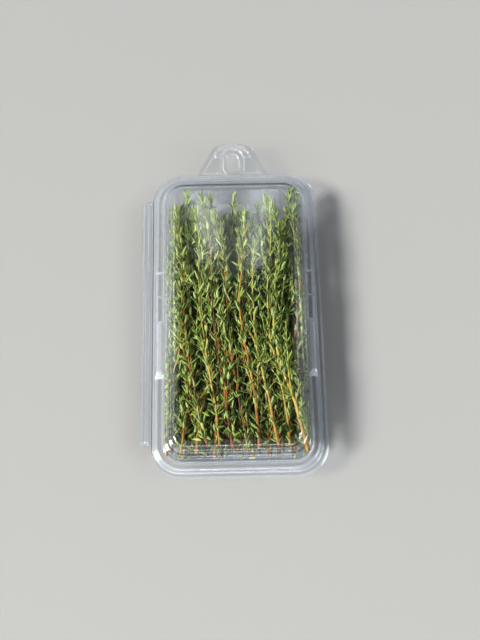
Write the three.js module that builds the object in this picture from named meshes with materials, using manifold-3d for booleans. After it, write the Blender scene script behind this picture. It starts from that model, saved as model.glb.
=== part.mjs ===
// A bunch of cut thyme lying in its clear, hinged, thermoformed pack.
// Millimetres, +Z up. The origin is the middle of the tray floor's underside. +Y runs from the cut
// stem ends to the growing tips and the hang tab, and -X is the hinge side.
//
// The pack is one clear sheet: a tray, a stepped lid and a fold between them. The thyme is a stack of
// separate sprigs, each one piece as it grew: a square stem with opposite pairs of small leaves.

import * as THREE from "three";
import { mergeVertices } from "three/addons/utils/BufferGeometryUtils.js";
import Module from "manifold-3d";

// ---- driving dimensions ----

const SHEET = 0.5; // thickness of the clear sheet
const NEST_GAP = 0.3; // air between the closed lid and the tray
const HALF_WIDTH = 48; // reference outline of both shells, out to the foot of the nesting rim
const HALF_LENGTH = 91;
const CORNER_RADIUS = 16; // of the reference outline
const CORNER_CLOSING = 0.72; // how much the corner radius shrinks for each millimetre of inset
const CORNER_STEPS = 5;

const TRAY_DEPTH = 12; // floor underside to flange underside
const WALL_LEAN = 4.6; // how far the tray wall leans out over its height
const FLOOR_BEVEL = 0.8;
const RIM_HEIGHT = 2.2; // nesting rim above the flange
const RIM_FOOT = 0.9; // insets of the rim's four corners, from the outside in
const RIM_OUTER = 2.0;
const RIM_INNER = 5.2;
const RIM_ROOT = 6.2;

const LID_HEIGHT = 17; // flange top to top panel
const LID_TERRACES = [
  // inset and share of the lid's height, from the rim up to the top panel
  [5.9, 0.16],
  [6.6, 0.43],
  [8.3, 0.46],
  [9.2, 0.72],
  [10.9, 0.75],
  [12.2, 0.935],
  [14.7, 1.0],
];

const FLANGE_NEAR_FAR = 3.2; // flange beyond the reference outline at both short ends
const FLANGE_HINGE_SIDE = 0.9;
const FLANGE_OPENING_SIDE = 3.3; // wider, as a lip to pull on
const FLANGE_RADIUS = 18;
const LID_FLANGE_SHY = 0.7; // the lid's flange stops this much short of the tray's

const LOCK_BAR_NEAR = -36.5; // raised bars on the rim's two long sides, along Y
const LOCK_BAR_FAR = 28.5;
const LOCK_BAR_RISE = 0.8;
const LOCK_BAR_RAMP = 2.2;

const HINGE_NEAR_STOP = 1.2; // folded strip ends this far short of the flange's straight edge
const HINGE_FAR_STOP = 0.2;
const HINGE_STRIP = 5.7; // from the flange's edge to the leaves' free edge
const HINGE_ARCH = 1.7; // how far each leaf arches away from the other
const HINGE_LAP = 1.0; // length of leaf inside the flange, to join them
const FOLD_RADIUS = 0.35;
const FOLD_CLEARANCE = 0.3;

const TAB_HEIGHT = 21.4;
const TAB_FOOT_HALF = 22;
const TAB_SHOULDER_HALF = 12.8;
const TAB_TOP_HALF = 7;
const TAB_SHOULDER_DROP = 3.6;
const TAB_LAP = 1.2; // length of tab inside the flange, to join them
const HANG_SLOT_WIDTH = 7.6;
const HANG_SLOT_LENGTH = 12.6;
const HANG_SLOT_OFFSET = 1.4; // slot's near end beyond the flange's edge
const TAB_RIDGE_RISE = 0.8; // stiffening ridges: a collar around the slot and a crescent over it
const COLLAR_WIDTH = 2.2;
const COLLAR_OFFSET = 0.5; // collar's two feet beyond the flange's edge
const CRESCENT_RADIUS = 9.8;
const CRESCENT_HALF_ANGLE = 1.08;
const CRESCENT_WIDTH = 4.6;
const CRESCENT_TOP_DROP = 4.2; // from the tab's top edge to the crescent's middle line

const LAYERS = 6; // of sprigs, one on another
const SPRIGS_PER_LAYER = 8;
const HEADROOM = 1.45; // from the stack to the floor and to the top panel
const WALL_CLEARANCE = 0.8; // from the outermost leaves to the walls
const NEAR_CLEARANCE = 0.6; // from the cut ends to the near wall
const FAR_CLEARANCE = 5; // from the longest tip to the far wall
const LANE_CLEARANCE = 0.5; // between one lane's leaves and the lane's border
const LAYER_CLEARANCE = 0.2; // between one layer's leaves and the layer's border
const CUT_END_SQUASH = 0.8; // height of the stack at the cut ends, where stems are bare
const CUT_END_GATHER = 0.97; // and its width
const LAYER_SLANT = [-3.2, 4.0, -4.4, 4.8, 5.6, -6.2]; // sideways lean of a whole layer
const LAYER_BOW = [1.4, -1.6, 1.8, -1.6, 2.0, -2.2]; // and its sideways wave
const CUT_END_SCATTER = 5; // along Y
const TIP_SCATTER = 34;
const STEM_THICK = 1.7; // side of the square stem at the cut end
const STEM_FINE = 0.8; // and at the tip
const LEAF_NODES = 9; // leaf pairs on each sprig
const BARE_SHARE = 0.17; // of a sprig's length that carries no leaves
const LEAF_ROOT_HALF = 1.1; // half length of the stem that a leaf grows from
const LEAF_FORWARD = 4.6; // how far a leaf's tip lies towards the growing tip

// ---- materials ----

const clearSheet = new THREE.MeshStandardMaterial({
  color: 0xe4ebf2,
  roughness: 0.08,
  metalness: 0,
  transparent: true,
  opacity: 0.3,
});
const leafGreens = [0x5d7a37, 0x6c8a42, 0x7f9a54].map(
  (color) => new THREE.MeshStandardMaterial({ color, roughness: 0.75, metalness: 0 }),
);

// ---- helpers ----

const wasm = await Module();
wasm.setup();

// A closed three.js geometry as a manifold-3d solid.
function toSolid(geometry) {
  const bare = geometry.index ? geometry.toNonIndexed() : geometry.clone();
  bare.deleteAttribute("normal");
  bare.deleteAttribute("uv");
  const merged = mergeVertices(bare, 1e-4);
  return new wasm.Manifold(
    new wasm.Mesh({
      numProp: 3,
      vertProperties: new Float32Array(merged.attributes.position.array),
      triVerts: new Uint32Array(merged.index.array),
    }),
  );
}

function toGeometry(solid) {
  const mesh = solid.getMesh();
  const geometry = new THREE.BufferGeometry();
  geometry.setAttribute("position", new THREE.BufferAttribute(mesh.vertProperties, 3));
  geometry.setIndex(new THREE.BufferAttribute(mesh.triVerts, 1));
  geometry.computeVertexNormals();
  return geometry;
}

function named(name, geometry, material) {
  const mesh = new THREE.Mesh(geometry, material);
  mesh.name = name;
  return mesh;
}

// A skin through closed rings of equal point count, with a fan over each end.
function loft(rings) {
  const count = rings[0].length;
  const middle = (ring) =>
    ring.reduce((sum, p) => sum.add(p), new THREE.Vector3()).divideScalar(ring.length);
  const points = [middle(rings[0]), ...rings.flat(), middle(rings.at(-1))];
  const last = points.length - 1;
  const index = [];
  for (let i = 0; i < count; i++) {
    const j = (i + 1) % count;
    index.push(0, 1 + j, 1 + i);
    for (let r = 0; r < rings.length - 1; r++) {
      const a = 1 + r * count;
      const b = a + count;
      index.push(a + i, a + j, b + j, a + i, b + j, b + i);
    }
    const top = 1 + (rings.length - 1) * count;
    index.push(last, top + i, top + j);
  }
  const geometry = new THREE.BufferGeometry().setFromPoints(points);
  geometry.setIndex(index);
  return geometry;
}

// Moves an open profile of [inset, z] points sideways by a distance, keeping its corners sharp.
function offsetProfile(profile, distance) {
  const normals = profile.slice(1).map(([inset, z], i) => {
    const along = new THREE.Vector2(inset - profile[i][0], z - profile[i][1]).normalize();
    return new THREE.Vector2(along.y, -along.x);
  });
  return profile.map(([inset, z], i) => {
    const before = normals[Math.max(i - 1, 0)];
    const after = normals[Math.min(i, normals.length - 1)];
    const mitre = before.clone().add(after).normalize();
    const reach = distance / mitre.dot(before);
    return [inset + mitre.x * reach, z + mitre.y * reach];
  });
}

// ---- the two shells ----

// How far into a lock bar a point at this Y is, from 0 outside to 1 inside.
const LOCK_BAR_STOPS = [
  LOCK_BAR_NEAR,
  LOCK_BAR_NEAR + LOCK_BAR_RAMP,
  LOCK_BAR_FAR - LOCK_BAR_RAMP,
  LOCK_BAR_FAR,
];

// A rounded rectangle at height z. Its long sides carry extra points where the lock bars start and
// end, and there the ring is lifted by rise.
function outlineRing({ left, right, halfLength, radius, z, rise = 0 }) {
  const corners = [
    [right - radius, halfLength - radius, 0],
    [-left + radius, halfLength - radius, 1],
    [-left + radius, -halfLength + radius, 2],
    [right - radius, -halfLength + radius, 3],
  ];
  const ring = [];
  for (const [x, y, quarter] of corners) {
    for (let k = 0; k <= CORNER_STEPS; k++) {
      const angle = (quarter + k / CORNER_STEPS) * (Math.PI / 2);
      ring.push(
        new THREE.Vector3(x + radius * Math.cos(angle), y + radius * Math.sin(angle), z),
      );
    }
    if (quarter === 1 || quarter === 3) {
      const stops = quarter === 1 ? LOCK_BAR_STOPS.toReversed() : LOCK_BAR_STOPS;
      const side = quarter === 1 ? -left : right;
      stops.forEach((y, k) => {
        const lift = k === 1 || k === 2 ? rise : 0;
        ring.push(new THREE.Vector3(side, y, z + lift));
      });
    }
  }
  return ring;
}

function insetRing(inset, z, rise = 0) {
  return outlineRing({
    left: HALF_WIDTH - inset,
    right: HALF_WIDTH - inset,
    halfLength: HALF_LENGTH - inset,
    radius: CORNER_RADIUS - CORNER_CLOSING * inset,
    z,
    rise,
  });
}

function flangeRing(shy, z) {
  return outlineRing({
    left: HALF_WIDTH + FLANGE_HINGE_SIDE,
    right: HALF_WIDTH + FLANGE_OPENING_SIDE - shy,
    halfLength: HALF_LENGTH + FLANGE_NEAR_FAR - shy,
    radius: FLANGE_RADIUS - shy,
    z,
  });
}

// A closed shell: up one face from the middle to the flange's edge and back along the other.
function shell(outer, inner, rimRows, flangeShy, flangeUnder, flangeTop) {
  const lift = (row) => (rimRows.includes(row) ? LOCK_BAR_RISE : 0);
  const rings = outer.map(([inset, z], row) => insetRing(inset, z, lift(row)));
  rings.push(flangeRing(flangeShy, flangeUnder), flangeRing(flangeShy, flangeTop));
  inner
    .map(([inset, z], row) => insetRing(inset, z, lift(row)))
    .reverse()
    .forEach((ring) => rings.push(ring));
  return rings;
}

// Rim of the tray, seen from below: its underside, from the wall out to the flange.
const RIM_PROFILE = [
  [RIM_ROOT, TRAY_DEPTH],
  [RIM_INNER, TRAY_DEPTH + RIM_HEIGHT],
  [RIM_OUTER, TRAY_DEPTH + RIM_HEIGHT],
  [RIM_FOOT, TRAY_DEPTH],
  [RIM_FOOT - 2, TRAY_DEPTH],
];
const FLANGE_TOP_TRAY = TRAY_DEPTH + SHEET;
const FLANGE_UNDER_LID = FLANGE_TOP_TRAY + NEST_GAP;
const FLANGE_TOP_LID = FLANGE_UNDER_LID + SHEET;
const LID_TOP = FLANGE_TOP_LID + LID_HEIGHT;

const FLOOR_INSET = RIM_ROOT + WALL_LEAN + FLOOR_BEVEL;
const WALL_PROFILE = [
  [FLOOR_INSET, 0],
  [FLOOR_INSET - FLOOR_BEVEL, FLOOR_BEVEL],
];
const TERRACE_PROFILE = LID_TERRACES.map(([inset, share]) => [
  inset,
  FLANGE_TOP_LID + share * LID_HEIGHT,
]);

function traySolid() {
  const under = [...WALL_PROFILE, ...RIM_PROFILE];
  const inside = offsetProfile([[FLOOR_INSET + 5, 0], ...under], SHEET).slice(1, -1);
  const rings = shell(under.slice(0, -1), inside, [3, 4], 0, TRAY_DEPTH, FLANGE_TOP_TRAY);
  return toSolid(loft(rings));
}

function lidSolid() {
  // Every face lies a sheet or a gap away from the tray's rim, and the terraces rise inside it.
  const rimTop = offsetProfile(RIM_PROFILE, 2 * SHEET + NEST_GAP).slice(1, -1);
  const outside = [...TERRACE_PROFILE.toReversed(), ...rimTop.slice(1)];
  const leadIn = [outside[0][0] + 5, LID_TOP];
  const leadOut = [rimTop.at(-1)[0] - 2, FLANGE_TOP_LID];
  const inside = offsetProfile([leadIn, ...outside, leadOut], -SHEET).slice(1, -1);
  const rimRows = [outside.length - 3, outside.length - 2];
  const rings = shell(
    outside,
    inside,
    rimRows,
    LID_FLANGE_SHY,
    FLANGE_TOP_LID,
    FLANGE_UNDER_LID,
  );
  return toSolid(loft(rings.reverse()));
}

// ---- hinge ----

const HINGE_EDGE = -(HALF_WIDTH + FLANGE_HINGE_SIDE);
const STRAIGHT_EDGE_END = HALF_LENGTH + FLANGE_NEAR_FAR - FLANGE_RADIUS;
const HINGE_NEAR = HINGE_NEAR_STOP - STRAIGHT_EDGE_END; // along Y
const HINGE_FAR = STRAIGHT_EDGE_END - HINGE_FAR_STOP;
const LEAF_END = HINGE_EDGE - HINGE_STRIP;
const FOLD_X = LEAF_END - FOLD_CLEARANCE - FOLD_RADIUS;
const FOLD_Z = (FLANGE_TOP_TRAY + FLANGE_UNDER_LID) / 2;

// One leaf of the folded strip: a ribbon that arches away from the other leaf, along Y.
function hingeLeafSolid(flangeZ, away) {
  const arch = [
    [HINGE_EDGE + HINGE_LAP, 0],
    [HINGE_EDGE - 0.9, 0],
    [HINGE_EDGE - 1.6, 0.75],
    [HINGE_EDGE - 2.4, 1],
    [HINGE_EDGE - 3.6, 1],
    [HINGE_EDGE - 4.4, 0.75],
    [HINGE_EDGE - 5.1, 0],
    [LEAF_END, 0],
  ];
  const face = (back) =>
    arch.map(([x, rise]) => new THREE.Vector2(x, flangeZ + away * (rise * HINGE_ARCH + back)));
  const section = new THREE.Shape([...face(0), ...face(SHEET).reverse()]);
  const ribbon = new THREE.ExtrudeGeometry(section, {
    depth: HINGE_FAR - HINGE_NEAR,
    bevelEnabled: false,
  });
  ribbon.rotateX(Math.PI / 2);
  ribbon.translate(0, HINGE_FAR, 0);
  return toSolid(ribbon);
}

function foldRod() {
  const length = HINGE_FAR - HINGE_NEAR;
  const rod = new THREE.CylinderGeometry(FOLD_RADIUS, FOLD_RADIUS, length, 8, 1);
  rod.translate(FOLD_X, (HINGE_FAR + HINGE_NEAR) / 2, FOLD_Z);
  return rod;
}

// ---- hang tab ----

function hangTabSolid() {
  const edge = HALF_LENGTH + FLANGE_NEAR_FAR;
  const top = edge + TAB_HEIGHT;
  const outline = new THREE.Shape();
  outline.moveTo(-TAB_FOOT_HALF, edge - TAB_LAP);
  outline.lineTo(TAB_FOOT_HALF, edge - TAB_LAP);
  outline.lineTo(TAB_FOOT_HALF, edge);
  outline.lineTo(TAB_SHOULDER_HALF, top - TAB_SHOULDER_DROP);
  outline.quadraticCurveTo(TAB_SHOULDER_HALF - 1.6, top, TAB_TOP_HALF, top);
  outline.lineTo(-TAB_TOP_HALF, top);
  outline.quadraticCurveTo(
    -TAB_SHOULDER_HALF + 1.6,
    top,
    -TAB_SHOULDER_HALF,
    top - TAB_SHOULDER_DROP,
  );
  outline.lineTo(-TAB_FOOT_HALF, edge);
  outline.closePath();

  const half = HANG_SLOT_WIDTH / 2;
  const slotNear = edge + HANG_SLOT_OFFSET + half;
  const slotFar = slotNear + HANG_SLOT_LENGTH - HANG_SLOT_WIDTH;
  const slot = new THREE.Shape();
  slot.absarc(0, slotFar, half, 0, Math.PI, false);
  slot.absarc(0, slotNear, half, Math.PI, 2 * Math.PI, false);
  slot.closePath();

  const collar = new THREE.Shape();
  collar.moveTo(half + COLLAR_WIDTH, edge + COLLAR_OFFSET);
  collar.absarc(0, slotFar, half + COLLAR_WIDTH, 0, Math.PI, false);
  collar.lineTo(-half - COLLAR_WIDTH, edge + COLLAR_OFFSET);
  collar.closePath();

  const centreY = top - CRESCENT_TOP_DROP - CRESCENT_RADIUS;
  const from = Math.PI / 2 - CRESCENT_HALF_ANGLE;
  const to = Math.PI / 2 + CRESCENT_HALF_ANGLE;
  const halfBand = CRESCENT_WIDTH / 2;
  const end = (angle) => [
    CRESCENT_RADIUS * Math.cos(angle),
    centreY + CRESCENT_RADIUS * Math.sin(angle),
  ];
  const crescent = new THREE.Shape();
  crescent.absarc(0, centreY, CRESCENT_RADIUS + halfBand, from, to, false);
  crescent.absarc(...end(to), halfBand, to, to + Math.PI, false);
  crescent.absarc(0, centreY, CRESCENT_RADIUS - halfBand, to, from, true);
  crescent.absarc(...end(from), halfBand, from + Math.PI, from + 2 * Math.PI, false);

  const slab = (shape, from, to) => {
    const solid = new THREE.ExtrudeGeometry(shape, {
      depth: to - from,
      bevelEnabled: false,
      curveSegments: 8,
    });
    solid.translate(0, 0, from);
    return toSolid(solid);
  };
  const ridgeFoot = TRAY_DEPTH + SHEET / 2;
  const ridgeTop = FLANGE_TOP_TRAY + TAB_RIDGE_RISE;
  return slab(outline, TRAY_DEPTH, FLANGE_TOP_TRAY)
    .add(slab(collar, ridgeFoot, ridgeTop))
    .add(slab(crescent, ridgeFoot, ridgeTop))
    .subtract(slab(slot, TRAY_DEPTH - 1, ridgeTop + 1));
}

// ---- thyme ----

// A repeatable number from 0 to 1 for sprig i and purpose k.
function scatter(i, k) {
  const value = Math.sin(i * 12.9898 + k * 78.233) * 43758.5453;
  return value - Math.floor(value);
}

const LAYER_PITCH = (LID_TOP - 2 * SHEET - 2 * HEADROOM) / LAYERS;
const LAYER_HEIGHTS = Array.from(
  { length: LAYERS },
  (_, layer) => SHEET + HEADROOM + (layer + 0.5) * LAYER_PITCH,
);
const SIDE_PROFILE = [...WALL_PROFILE, [RIM_ROOT, TRAY_DEPTH], ...TERRACE_PROFILE];

// Inset of the closed pack's wall at height z.
function wallInset(z) {
  const above = SIDE_PROFILE.findIndex(([, height]) => height > z);
  const [inset, height] = SIDE_PROFILE[above - 1];
  const [nextInset, nextHeight] = SIDE_PROFILE[above];
  return THREE.MathUtils.lerp(inset, nextInset, (z - height) / (nextHeight - height));
}

// Inset of the tightest wall around a layer whose middle lies between two heights.
function layerInset(lowest, highest) {
  const below = wallInset(lowest - LAYER_PITCH / 2);
  const above = wallInset(highest + LAYER_PITCH / 2);
  return Math.max(below, above) + SHEET;
}

// From X = 0 to the outermost stems of a layer, whose leaves reach half a lane further.
function layerSpread(layer) {
  const height = LAYER_HEIGHTS[layer];
  const room = HALF_WIDTH - layerInset(height * CUT_END_SQUASH, height) - WALL_CLEARANCE;
  const wander = Math.abs(LAYER_SLANT[layer]) + Math.abs(LAYER_BOW[layer]);
  return ((room - wander) * (SPRIGS_PER_LAYER - 1)) / SPRIGS_PER_LAYER;
}

// The span along Y that a layer's cut ends and tips stay within.
function layerSpan(layer) {
  const height = LAYER_HEIGHTS[layer];
  const squashed = height * CUT_END_SQUASH;
  const cutEnd = layerInset(squashed, squashed) + NEAR_CLEARANCE - HALF_LENGTH;
  const longestTip = HALF_LENGTH - layerInset(height, height) - FAR_CLEARANCE;
  return [cutEnd, longestTip];
}

// Middle line of the stem in one lane of one layer. Neighbours bend together, so they never cross.
function stemLine(layer, lane) {
  const i = layer * SPRIGS_PER_LAYER + lane;
  const home = layerSpread(layer) * ((2 * lane) / (SPRIGS_PER_LAYER - 1) - 1);
  const [cutEnd, longestTip] = layerSpan(layer);
  const start = cutEnd + CUT_END_SCATTER * scatter(i, 1);
  const end = longestTip - TIP_SCATTER * scatter(i, 2) ** 1.4;
  const points = [];
  for (let k = 0; k <= 8; k++) {
    const y = THREE.MathUtils.lerp(start, end, k / 8);
    const along = (y - cutEnd) / (longestTip - cutEnd);
    const squash = CUT_END_SQUASH + (1 - CUT_END_SQUASH) * THREE.MathUtils.smoothstep(along, 0, 0.4);
    const gather = THREE.MathUtils.lerp(CUT_END_GATHER, 1, along);
    const lean = LAYER_SLANT[layer] * (2 * along - 1);
    const bow = LAYER_BOW[layer] * Math.sin(2 * Math.PI * along + layer);
    points.push(new THREE.Vector3(home * gather + lean + bow, y, LAYER_HEIGHTS[layer] * squash));
  }
  return new THREE.CatmullRomCurve3(points);
}

// A sprig in one skin: a square stem whose side faces are drawn out into leaves, in opposite pairs
// that turn a quarter from one node to the next.
function sprig(layer, lane) {
  const line = stemLine(layer, lane);
  const length = line.getLength();
  const halfLane = (layerSpread(layer) * CUT_END_GATHER) / (SPRIGS_PER_LAYER - 1);
  const reachAside = halfLane - LANE_CLEARANCE;
  const reachUp = (LAYER_PITCH * CUT_END_SQUASH) / 2 - LAYER_CLEARANCE;
  const up = new THREE.Vector3(0, 0, 1);
  const points = [];
  const index = [];

  const frameAt = (share) => {
    const along = line.getTangentAt(share);
    const aside = along.clone().cross(up).normalize();
    return { centre: line.getPointAt(share), along, aside, over: aside.clone().cross(along) };
  };
  const addRing = (share) => {
    const { centre, aside, over } = frameAt(share);
    const half = THREE.MathUtils.lerp(STEM_THICK, STEM_FINE, share) / 2;
    const first = points.length;
    for (const [a, o] of [
      [1, -1],
      [1, 1],
      [-1, 1],
      [-1, -1],
    ]) {
      points.push(centre.clone().addScaledVector(aside, a * half).addScaledVector(over, o * half));
    }
    return first;
  };
  const join = (from, to, leafFaces = [], tips = []) => {
    for (let side = 0; side < 4; side++) {
      const next = (side + 1) % 4;
      const quad = [from + side, to + side, to + next, from + next];
      const leaf = leafFaces.indexOf(side);
      if (leaf < 0) {
        index.push(quad[0], quad[1], quad[2], quad[0], quad[2], quad[3]);
        continue;
      }
      const tip = points.push(tips[leaf]) - 1;
      quad.forEach((corner, k) => index.push(corner, quad[(k + 1) % 4], tip));
    }
  };

  let previous = addRing(0);
  index.push(previous, previous + 1, previous + 2, previous, previous + 2, previous + 3);
  for (let n = 0; n < LEAF_NODES; n++) {
    const spot = (n + 0.5 * scatter(layer * 31 + lane, 5 + n)) / LEAF_NODES;
    const share = THREE.MathUtils.lerp(BARE_SHARE, 0.94, spot);
    const rootShare = LEAF_ROOT_HALF / length;
    const below = addRing(share - rootShare);
    const above = addRing(share + rootShare);
    const { centre, along, aside, over } = frameAt(share);
    const flat = n % 2 === 0;
    const way = flat ? aside : over;
    const reach = flat ? reachAside : reachUp;
    const tips = [1, -1].map((sign) =>
      centre.clone().addScaledVector(way, sign * reach).addScaledVector(along, LEAF_FORWARD),
    );
    join(previous, below);
    join(below, above, flat ? [0, 2] : [1, 3], tips);
    previous = above;
  }
  const last = addRing(1);
  join(previous, last);
  index.push(last, last + 2, last + 1, last, last + 3, last + 2);

  const geometry = new THREE.BufferGeometry().setFromPoints(points);
  geometry.setIndex(index);
  return geometry;
}

// ---- assembly ----

const pack = new THREE.Group();

const trayLeaf = hingeLeafSolid(TRAY_DEPTH + SHEET, -1);
const tray = traySolid().add(trayLeaf).add(hangTabSolid());
pack.add(named("tray", toGeometry(tray), clearSheet));

const lid = lidSolid().add(hingeLeafSolid(FLANGE_UNDER_LID, 1));
pack.add(named("lid", toGeometry(lid), clearSheet));

pack.add(named("hinge_fold", foldRod(), clearSheet));

for (let layer = 0; layer < LAYERS; layer++) {
  for (let lane = 0; lane < SPRIGS_PER_LAYER; lane++) {
    const number = String(layer * SPRIGS_PER_LAYER + lane + 1).padStart(2, "0");
    const green = leafGreens[(layer + 2 * lane) % leafGreens.length];
    pack.add(named(`sprig_${number}`, sprig(layer, lane), green));
  }
}

export default pack;
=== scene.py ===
"""A bunch of thyme in its clear, hinged, thermoformed pack.

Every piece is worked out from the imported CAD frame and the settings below. The flange, the hang
tab and the lid's height come from the tray's and lid's boxes, the hinge strip from its fold's box,
and each sprig grows along the middle line of its own CAD sprig. Lengths are metres, apart from
those that are divided by MM.
"""

import bpy
import numpy as np
from mathutils import Matrix, Vector


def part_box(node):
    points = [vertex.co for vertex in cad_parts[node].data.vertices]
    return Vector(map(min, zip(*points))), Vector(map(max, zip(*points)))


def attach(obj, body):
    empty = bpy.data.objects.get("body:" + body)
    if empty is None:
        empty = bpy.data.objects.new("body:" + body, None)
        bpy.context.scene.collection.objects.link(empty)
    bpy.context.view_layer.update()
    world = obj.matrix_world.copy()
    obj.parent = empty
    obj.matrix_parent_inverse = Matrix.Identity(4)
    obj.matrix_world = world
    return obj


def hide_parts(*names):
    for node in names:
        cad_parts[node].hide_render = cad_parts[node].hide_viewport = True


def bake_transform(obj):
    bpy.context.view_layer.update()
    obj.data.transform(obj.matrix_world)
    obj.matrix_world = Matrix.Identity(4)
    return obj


bl_info = {
    "name": "Thyme in a clear pack",
    "version": (1, 0, 0),
    "blender": (4, 5, 0),
    "location": "View3D > Sidebar > Thyme",
    "description": "Builds a bunch of thyme lying in a clear hinged pack",
    "category": "Object",
}

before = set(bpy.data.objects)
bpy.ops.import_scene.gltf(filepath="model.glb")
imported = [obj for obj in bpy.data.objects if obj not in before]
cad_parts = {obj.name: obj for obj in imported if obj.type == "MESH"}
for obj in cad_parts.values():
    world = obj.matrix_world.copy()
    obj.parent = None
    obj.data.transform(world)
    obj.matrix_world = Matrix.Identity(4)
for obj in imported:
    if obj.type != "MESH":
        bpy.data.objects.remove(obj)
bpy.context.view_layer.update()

MM = 0.001
TRAY_LOW, TRAY_HIGH = (np.array(corner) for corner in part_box("tray"))
LID_HIGH = np.array(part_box("lid")[1])
FOLD_LOW, FOLD_HIGH = (np.array(corner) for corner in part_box("hinge_fold"))
SPRIGS = sorted(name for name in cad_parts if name.startswith("sprig_"))


# ---- settings ----


class PackSettings(bpy.types.PropertyGroup):
    """Sizes of the clear sheet pack."""

    sheet: bpy.props.FloatProperty(
        name="Sheet", description="Thickness of the clear sheet", default=0.4 * MM, unit="LENGTH"
    )
    half_width: bpy.props.FloatProperty(
        name="Half width",
        description="Half the width at the foot of the nesting rim",
        default=48 * MM,
        unit="LENGTH",
    )
    half_length: bpy.props.FloatProperty(
        name="Half length",
        description="Half the length at the foot of the nesting rim",
        default=91 * MM,
        unit="LENGTH",
    )
    corner: bpy.props.FloatProperty(
        name="Corner", description="Corner radius at the rim's foot", default=16 * MM, unit="LENGTH"
    )
    flange_corner: bpy.props.FloatProperty(
        name="Flange corner",
        description="Corner radius of the flange's edge",
        default=18 * MM,
        unit="LENGTH",
    )
    depth: bpy.props.FloatProperty(
        name="Tray depth",
        description="From the floor's underside to the flange's",
        default=12 * MM,
        unit="LENGTH",
    )
    rim: bpy.props.FloatProperty(
        name="Rim", description="Height of the nesting rim", default=2.3 * MM, unit="LENGTH"
    )
    crown: bpy.props.FloatProperty(
        name="Crown",
        description="Rise of the top panel's middle over its edge",
        default=0.25 * MM,
        unit="LENGTH",
    )
    bar_rise: bpy.props.FloatProperty(
        name="Bar rise", description="Height of the lock bars", default=0.8 * MM, unit="LENGTH"
    )
    tongue_rise: bpy.props.FloatProperty(
        name="Tongue rise",
        description="Height of the tongue on each lock bar",
        default=0.45 * MM,
        unit="LENGTH",
    )
    bend: bpy.props.FloatProperty(
        name="Bend", description="Rounding of the sheet's bends", default=0.9 * MM, unit="LENGTH"
    )
    tint: bpy.props.FloatVectorProperty(
        name="Tint",
        description="Colour the sheet passes, seen straight on",
        subtype="COLOR",
        default=(0.985, 0.99, 0.995),
    )
    shade: bpy.props.FloatVectorProperty(
        name="Shade",
        description="Colour of a lamp's light behind one face of the sheet",
        subtype="COLOR",
        default=(0.94, 0.945, 0.955),
    )
    edge_tint: bpy.props.FloatVectorProperty(
        name="Edge tint",
        description="Colour the sheet passes at a glancing angle",
        subtype="COLOR",
        default=(0.70, 0.74, 0.80),
    )


class ThymeSettings(bpy.types.PropertyGroup):
    """Sizes and colours of the sprigs."""

    stem: bpy.props.FloatProperty(
        name="Stem", description="Half width of a stem at its cut end", default=0.84 * MM, unit="LENGTH"
    )
    leaf_length: bpy.props.FloatProperty(
        name="Leaf length", description="Length of a full leaf", default=7.6 * MM, unit="LENGTH"
    )
    leaf_width: bpy.props.FloatProperty(
        name="Leaf width", description="Width of a full leaf", default=2.2 * MM, unit="LENGTH"
    )
    seed: bpy.props.IntProperty(
        name="Seed", description="Start of the sprigs' variations", default=7
    )
    # The dark end of the leaf tint ramp: leaves reach it by chance and, deep in the pack, through painted
    # shade.
    leaf_dark: bpy.props.FloatVectorProperty(
        name="Leaf, dark", description="Older leaves", subtype="COLOR", default=(0.036, 0.088, 0.014)
    )
    leaf_light: bpy.props.FloatVectorProperty(
        name="Leaf, light", description="Younger leaves", subtype="COLOR", default=(0.30, 0.42, 0.085)
    )
    leaf_under: bpy.props.FloatVectorProperty(
        name="Leaf, underside", description="Felted underside", subtype="COLOR", default=(0.40, 0.47, 0.22)
    )


class StageSettings(bpy.types.PropertyGroup):
    """Floor and lights."""

    floor: bpy.props.FloatVectorProperty(
        name="Floor", description="Colour of the floor", subtype="COLOR", default=(0.34, 0.34, 0.335)
    )
    key: bpy.props.FloatProperty(
        name="Key light", description="Strength of the distant main light", default=4.6, min=0.0
    )


# ---- surfaces ----


def add_piece(name, points, faces, materials, body=None, replaces=(), smooth=True):
    """Makes a mesh of points (n, 3) and faces, as one array or several of quads or triangles, and
    says which CAD nodes it replaces and the body it rides on, where they are given."""
    mesh = bpy.data.meshes.new(name)
    groups = faces if isinstance(faces, list) else [faces]
    loops = np.concatenate([g.ravel() for g in groups]).astype(np.int32)
    sizes = np.concatenate([np.full(len(g), g.shape[1]) for g in groups]).astype(np.int32)
    mesh.vertices.add(len(points))
    mesh.vertices.foreach_set("co", np.ascontiguousarray(points, np.float32).ravel())
    mesh.loops.add(len(loops))
    mesh.loops.foreach_set("vertex_index", loops)
    mesh.polygons.add(len(sizes))
    starts = np.concatenate([[0], np.cumsum(sizes)[:-1]]).astype(np.int32)
    mesh.polygons.foreach_set("loop_start", starts)
    mesh.polygons.foreach_set("loop_total", sizes)
    mesh.polygons.foreach_set("use_smooth", np.full(len(sizes), smooth))
    mesh.update(calc_edges=True)
    mesh.validate()
    for material in materials:
        mesh.materials.append(material)
    piece = bpy.data.objects.new(name, mesh)
    bpy.context.scene.collection.objects.link(piece)
    if replaces:
        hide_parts(*replaces)
    if body:
        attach(piece, body)
    return piece


def set_attribute(mesh, name, values):
    """Stores one number (n,) or one colour (n, 4) at each of the mesh's points."""
    kind = "FLOAT" if values.ndim == 1 else "FLOAT_COLOR"
    attribute = mesh.attributes.new(name, kind, "POINT")
    key = "value" if values.ndim == 1 else "color"
    attribute.data.foreach_set(key, np.ascontiguousarray(values, np.float32).ravel())


def set_uv(mesh, uv):
    """Stores a UV map from one (u, v) at each of the mesh's points."""
    layer = mesh.uv_layers.new(name="UVMap")
    corners = np.empty(len(mesh.loops), np.int32)
    mesh.loops.foreach_get("vertex_index", corners)
    layer.data.foreach_set("uv", np.ascontiguousarray(uv[corners], np.float32).ravel())


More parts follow.
